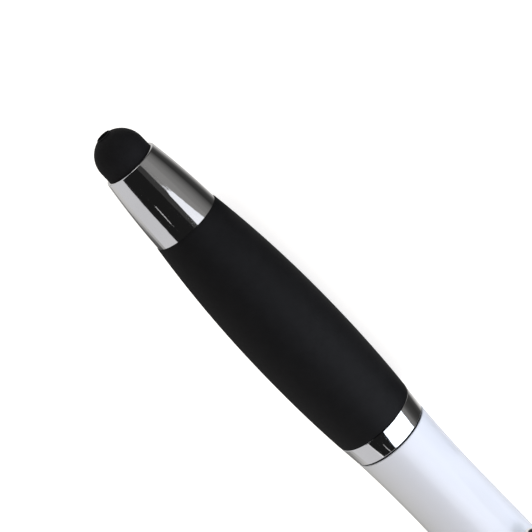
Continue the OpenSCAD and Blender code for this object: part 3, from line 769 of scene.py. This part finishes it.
def make_camera():
    """The photo's camera, which puts the dome's base and the pen's axis where the photo has them."""
    to_camera = Vector((-math.sin(TILT), math.cos(TILT) * math.cos(TURN), math.cos(TILT) * math.sin(TURN)))
    axis_in_image = Vector((math.cos(TILT), math.sin(TILT) * math.cos(TURN), math.sin(TILT) * math.sin(TURN)))
    across_image = Vector((0, math.sin(TURN), -math.cos(TURN)))
    right = math.cos(AXIS_ANGLE) * axis_in_image + math.sin(AXIS_ANGLE) * across_image
    up = math.cos(AXIS_ANGLE) * across_image - math.sin(AXIS_ANGLE) * axis_in_image
    x = (DOME_PX[0] - IMAGE_PX / 2) / FOCAL_PX * DEPTH
    y = -(DOME_PX[1] - IMAGE_PX / 2) / FOCAL_PX * DEPTH
    data = bpy.data.cameras.new("camera")
    data.sensor_width = SENSOR_MM
    data.lens = FOCAL_PX / IMAGE_PX * SENSOR_MM
    data.clip_start = NEAREST
    camera = bpy.data.objects.new("camera", data)
    bpy.context.scene.collection.objects.link(camera)
    eye = place(NOSE_S, 0, 0) - x * right - y * up + DEPTH * to_camera
    camera.matrix_world = Matrix.Translation(eye) @ Matrix((right, up, to_camera)).transposed().to_4x4()
    bpy.context.scene.camera = camera


# Stage

# The point on the pen's axis that cards and lamps are set out from
LOOK_AT_S = 35
LOOK_AT = place(LOOK_AT_S, 0, 0)
# The floor just clears the pen, and floor cards lie between the two, at a share of that depth
FLOOR_Z = -0.04 * MM
CARD_DEPTH = 0.5
TOP_CARD_DEPTH = 0.25
FLOOR_REACH = 3  # metres from its middle to each side
FLOOR_COLOUR = 0.86
FLOOR_GLOW = 0.8
# Light from all round on the pen
AMBIENT = (1.04, 0.98, 0.88)
AMBIENT_STRENGTH = 0.565
# Degrees across to just under the floor's horizon in front of the pen
HORIZON = 35.3
# Millimetres in front of the pen: where the near floor's cards start and end, that end beside the nose, the
# floor's far edge, and the end of the floor close behind the pen
UNDER = -8
NEAR = 17.5
NOSE_NEAR = 20
FAR = 2900
BEHIND = -150
# Colours of the light and of the cards
VIOLET = (0.97, 0.96, 1.2)
COOL = (0.93, 1.0, 1.1)
PALE = (0.98, 1.0, 1.06)
GREY = (1.0, 0.985, 0.965)
LIGHT_GREY = 0.64
# Edges on the floor as station and front: the softbox's dim edge, its bright edge, and the end of the floor
# that the barrel shows to the camera
DIM_EDGE = [(21.6, NEAR), (21.5, 24), (21.2, 30), (21.2, 52), (26, 222), (45, 400), (200, FAR)]
BRIGHT_EDGE = [(40, NEAR), (58, 90), (118, 400), (800, FAR)]
BARREL_EDGE = [(118, NEAR), (135, 27), (165, 45), (245, 90), (780, 400), (FAR, 1640)]
# Stations where one near floor card ends and the next starts
NOSE_END = 18.6
GRIP_END = 52
RING_END = 66
BARREL_END = 112


def towards(across, along):
    """A direction from the pen: degrees round its axis from the camera's side towards the photo's
    upper right, and degrees along it towards the cap."""
    a, b = TURN - math.radians(across), math.radians(along)
    return Vector((math.sin(b), math.cos(b) * math.cos(a), math.cos(b) * math.sin(a)))


def glow(name, strength, colour):
    """A material that only shines."""
    material = bpy.data.materials.new(name)
    material.use_nodes = True
    nodes = material.node_tree.nodes
    nodes.remove(nodes["Principled BSDF"])
    light = nodes.new("ShaderNodeEmission")
    light.inputs["Color"].default_value = (*colour, 1)
    light.inputs["Strength"].default_value = strength
    material.node_tree.links.new(light.outputs["Emission"], nodes["Material Output"].inputs["Surface"])
    return material


def grade(obj, axis, stops):
    """Makes a shining card change along an axis of the frame, between stops of place and strength."""
    tree = obj.data.materials[0].node_tree
    nodes, links = tree.nodes, tree.links
    where = nodes.new("ShaderNodeTexCoord")
    split = nodes.new("ShaderNodeSeparateXYZ")
    along = nodes.new("ShaderNodeMapRange")
    along.inputs["From Min"].default_value = stops[0][0]
    along.inputs["From Max"].default_value = stops[-1][0]
    ramp = nodes.new("ShaderNodeValToRGB")
    colours = ramp.color_ramp.elements
    while len(colours) < len(stops):
        colours.new(1.0)
    for spot, (at, level) in zip(colours, stops):
        spot.position = (at - stops[0][0]) / (stops[-1][0] - stops[0][0])
        spot.color = (*(level * part for part in GREY), 1)
    links.new(where.outputs["Object"], split.inputs["Vector"])
    links.new(split.outputs[axis], along.inputs["Value"])
    links.new(along.outputs["Result"], ramp.inputs["Fac"])
    links.new(ramp.outputs["Color"], nodes["Emission"].inputs["Color"])


def card(name, strength, points, colour):
    """A studio card with an outline of points round their middle, which only reflections see."""
    bm = bmesh.new()
    outline = [bm.verts.new(p) for p in points]
    middle = bm.verts.new(sum(points, Vector()) / len(points))
    for i, v in enumerate(outline):
        bm.faces.new((middle, v, outline[(i + 1) % len(outline)]))
    obj = mesh_object(name, bm)
    obj.data.materials.append(glow(name, strength, colour))
    for ray in ("camera", "diffuse", "transmission", "volume_scatter", "shadow"):
        setattr(obj, "visible_" + ray, False)
    return obj


def round_card(name, strength, distance, corners, colour=(1, 1, 1)):
    """A card whose corners are directions from the pen: degrees across and degrees along."""
    points = []
    for (a, b), (c, d) in zip(corners, corners[1:] + corners[:1]):
        for share in spread(0, 1, steps=8)[:-1]:
            points.append(LOOK_AT + distance * towards(a + (c - a) * share, b + (d - b) * share))
    return card(name, strength, points, colour)


def floor_card(name, strength, corners, colour=(1, 1, 1), depth=CARD_DEPTH):
    """A card flat on the floor, whose corners are a station and a distance in front of the pen."""
    flat = [place(station, front, 0) for station, front in corners]
    return card(name, strength, [Vector((p.x, p.y, FLOOR_Z * depth)) for p in flat], colour)


def graded_floor(name, corners, axis, stops):
    """A floor card that is graded along X by stations, or along Y by distances in front of the pen."""
    obj = floor_card(name, strength=1.0, corners=corners)
    if axis == "X":
        places = [(place(at, 0, 0).x, level) for at, level in stops]
    else:
        places = [(place(0, at, 0).y, level) for at, level in stops]
    grade(obj, axis, places)


def oblong(stations, fronts):
    """Corners of a floor card between two stations and two distances in front of the pen."""
    (a, b), (c, d) = stations, fronts
    return [(a, c), (b, c), (b, d), (a, d)]


def lamp(name, across, along, distance, size, radiance, colour):
    """A round soft lamp in a direction from the pen, facing it."""
    data = bpy.data.lights.new(name, "AREA")
    data.shape = "DISK"
    data.size = size
    data.energy = radiance * math.pi * math.pi * size * size / 4
    data.color = colour
    obj = bpy.data.objects.new(name, data)
    bpy.context.scene.collection.objects.link(obj)
    ray = towards(across, along)
    facing = ray.to_track_quat("Z", "Y").to_matrix().to_4x4()
    obj.matrix_world = Matrix.Translation(LOOK_AT + distance * ray) @ facing
    obj.visible_camera = False
    obj.visible_glossy = False


def background_rays(tree):
    """One for the camera, reflections and clear pieces, and nought for light that falls on the pen."""
    path = tree.nodes.new("ShaderNodeLightPath")
    rays = path.outputs["Is Camera Ray"]
    for other in ("Is Glossy Ray", "Is Transmission Ray"):
        either = tree.nodes.new("ShaderNodeMath")
        either.operation = "MAXIMUM"
        tree.links.new(rays, either.inputs[0])
        tree.links.new(path.outputs[other], either.inputs[1])
        rays = either.outputs[0]
    return rays


def make_world():
    """Warm soft light all round the pen, and white wherever the background itself is seen."""
    world = bpy.data.worlds.new("studio")
    bpy.context.scene.world = world
    world.use_nodes = True
    tree = world.node_tree
    light = tree.nodes["Background"]
    light.inputs["Color"].default_value = (*AMBIENT, 1)
    light.inputs["Strength"].default_value = AMBIENT_STRENGTH
    white = tree.nodes.new("ShaderNodeBackground")
    white.inputs["Color"].default_value = (1, 1, 1, 1)
    white.inputs["Strength"].default_value = 1.0
    mix = tree.nodes.new("ShaderNodeMixShader")
    tree.links.new(background_rays(tree), mix.inputs[0])
    tree.links.new(light.outputs[0], mix.inputs[1])
    tree.links.new(white.outputs[0], mix.inputs[2])
    tree.links.new(mix.outputs[0], tree.nodes["World Output"].inputs["Surface"])


def make_floor():
    """A plain white floor that keeps the pen's shadow."""
    bm = bmesh.new()
    bmesh.ops.create_grid(bm, x_segments=2, y_segments=2, size=FLOOR_REACH)
    for v in bm.verts:
        v.co.z = FLOOR_Z
    floor = mesh_object("floor", bm)
    material = bpy.data.materials.new("floor")
    material.use_nodes = True
    tree = material.node_tree
    surface = tree.nodes["Principled BSDF"]
    surface.inputs["Base Color"].default_value = (FLOOR_COLOUR, FLOOR_COLOUR, FLOOR_COLOUR, 1)
    surface.inputs["Roughness"].default_value = 0.9
    surface.inputs["Specular IOR Level"].default_value = 0.1
    surface.inputs["Emission Color"].default_value = (FLOOR_GLOW, FLOOR_GLOW, FLOOR_GLOW, 1)
    tree.links.new(background_rays(tree), surface.inputs["Emission Strength"])
    floor.data.materials.append(material)


def make_lights():
    """The lamp of the softbox, and a pale card on the floor that lights the pen from below in front."""
    lamp("softbox", across=20, along=32, distance=0.8, size=0.3, radiance=6.0, colour=VIOLET)
    fill = floor_card("fill", strength=1.3, corners=oblong((-120, 260), (8, 400)), colour=(0.96, 1.0, 1.05))
    fill.visible_diffuse = True
    fill.visible_glossy = False


def make_softbox():
    """The softbox as chrome and gloss show it: its face, its dim edge, and both again on the floor."""
    round_card("softbox_face", strength=2.8, distance=1.2, colour=COOL, corners=[
        (15, 14), (-6, 21), (-12, 31), (-8, 50), (10, 66), (30, 70), (HORIZON, 68), (HORIZON, 14)
    ])
    round_card("softbox_edge", strength=1.0, distance=1.3, colour=PALE, corners=[
        (HORIZON, 3.6), (27, 2.1), (22.3, 4.4), (21.2, 7), (20.8, 10.7), (12, 15), (12, 18), (HORIZON, 18)
    ])
    bright_floor = BRIGHT_EDGE + [(FAR, FAR)] + BARREL_EDGE[::-1]
    floor_card("softbox_floor", strength=2.6, corners=bright_floor, colour=COOL)
    # Past the barrel the floor is graded through a painted shadow of the pen, darkest about 7 mm in front of
    # it
    cap_floor = [(BARREL_END, UNDER), (BARREL_END, NEAR)] + BARREL_EDGE + [(FAR, UNDER)]
    graded_floor("floor_cap", cap_floor, axis="Y", stops=[
        (UNDER, 0.75), (1, 0.6), (4, 0.3), (7, 0.08), (11, 0.12), (17, 0.3), (30, 0.5), (70, 0.62),
        (400, 0.7)
    ])
    floor_card("softbox_floor_edge", strength=1.0, corners=DIM_EDGE + BRIGHT_EDGE[::-1], colour=PALE)
    # Painted shade: a dark card under the clip's free end, which the clip's end and the barrel beside it
    # reflect
    shade = [(71, 8), (104, 8), (108, 26), (80, 26), (71, 17)]
    floor_card("clip_shade", strength=0.04, corners=shade, colour=GREY, depth=TOP_CARD_DEPTH)


def make_room():
    """What chrome shows above the floor: a black flag overhead, the room, a light card behind with a shaded
    foot, and two narrow windows."""
    round_card("black_flag", strength=0.012, distance=4.0, corners=[
        (-90, -80), (-40, 80), (8, 75), (8, -75)
    ])
    round_card("dark_room", strength=0.042, distance=4.2, colour=GREY, corners=[
        (5, -75), (5, 75), (34, 75), (34, -75)
    ])
    round_card("grey_room", strength=0.24, distance=3.6, colour=GREY, corners=[
        (HORIZON, -75), (31, -75), (28, -2), (20, 3), (17, 6), (17, 75), (HORIZON, 75)
    ])
    round_card("light_card", strength=LIGHT_GREY, distance=3.8, colour=(1.0, 0.995, 1.02), corners=[
        (-146, -80), (-146, 80), (-53, 80), (-70.5, -80)
    ])
    shade_stops = [
        (0.05, 0.64), (0.122, 0.61), (0.156, 0.54), (0.188, 0.3), (0.222, 0.08), (0.3, 0.08), (0.433, 0.45),
        (0.5, 0.6)
    ]
    for name, low, high, shade in (("low_shade", -145.2, -129, 1.0), ("mid_shade", -129, -116, 0.5)):
        foot = round_card(name, strength=1.0, distance=1.0, corners=[
            (low, 4), (low, 30), (high, 30), (high, 4)
        ])
        grade(foot, axis="X", stops=[
            (LOOK_AT.x + ahead, LIGHT_GREY + (level - LIGHT_GREY) * shade) for ahead, level in shade_stops
        ])
    round_card("window_line", strength=1.2, distance=1.4, corners=[
        (-35.8, 4.2), (-35.8, 7.9), (-34.7, 7.9), (-34.7, 4.2)
    ])
    round_card("window_edge", strength=1.0, distance=1.4, corners=[
        (-31.5, 27), (-31.5, 34), (-30.6, 34), (-30.6, 27)
    ])


def make_floor_bands():
    """The floor in chrome and gloss: a painted shadow dark beside the pen, pale or grey further off."""
    # Painted shadow of the nose, darkest about 4 to 7 mm in front of the pen
    graded_floor("floor_nose", oblong((-60, NOSE_END), (UNDER, NOSE_NEAR)), axis="Y", stops=[
        (UNDER, 0.68), (0.4, 0.66), (1.7, 0.48), (2.7, 0.2), (3.8, 0.065), (5, 0.04), (6.2, 0.032),
        (7.2, 0.08), (8.9, 0.14), (12.7, 0.2), (NOSE_NEAR, 0.23)
    ])
    # Painted shadow of the grip, darkest about 8 mm in front of the pen
    graded_floor("floor_grip", oblong((NOSE_END, GRIP_END), (UNDER, NEAR)), axis="Y", stops=[
        (UNDER, 0.5), (4, 0.45), (6, 0.25), (8, 0.1), (NEAR, 0.2)
    ])
    # Painted shadow of the ring, darkest about 5 to 9 mm in front of the pen
    graded_floor("floor_ring", oblong((GRIP_END, RING_END), (UNDER, NEAR)), axis="Y", stops=[
        (UNDER, 1.0), (1.9, 1.0), (2.8, 0.86), (3.7, 0.45), (4.7, 0.075), (5.8, 0.045), (6.8, 0.036),
        (9.3, 0.055), (11, 0.1), (12.9, 0.185), (NEAR, 0.22)
    ])
    graded_floor("floor_barrel", oblong((RING_END, BARREL_END), (UNDER, NEAR)), axis="Y", stops=[
        (UNDER, 1.0), (6, 0.9), (NEAR, 1.0)
    ])
    front = [(-FAR, NOSE_NEAR), (NOSE_END, NOSE_NEAR), (NOSE_END, NEAR)] + DIM_EDGE + [(-FAR, FAR)]
    floor_card("floor_front", strength=0.26, corners=front, colour=GREY)
    # Painted shadow of the grip's belly on the floor behind the pen, darkest from station 30 to 45
    graded_floor("floor_back", oblong((-60, 220), (BEHIND, -10)), axis="X", stops=[
        (-60, 0.64), (16, 0.64), (19, 0.55), (22, 0.34), (26, 0.18), (30, 0.08), (45, 0.08), (65, 0.28),
        (220, 0.3)
    ])
    graded_floor("floor_far", oblong((-FAR, FAR), (-FAR, BEHIND)), axis="Y", stops=[
        (-FAR, 0.5), (-1585, 0.4), (-594, 0.15), (-348, 0.07), (BEHIND, 0.07)
    ])


def make_stage():
    """White floor and background, soft light, and the cards that the chrome and the gloss reflect."""
    bpy.context.scene.view_settings.view_transform = "Standard"
    make_world()
    make_floor()
    make_lights()
    make_softbox()
    make_room()
    make_floor_bands()


make_camera()
dress(make_materials())
make_stage()
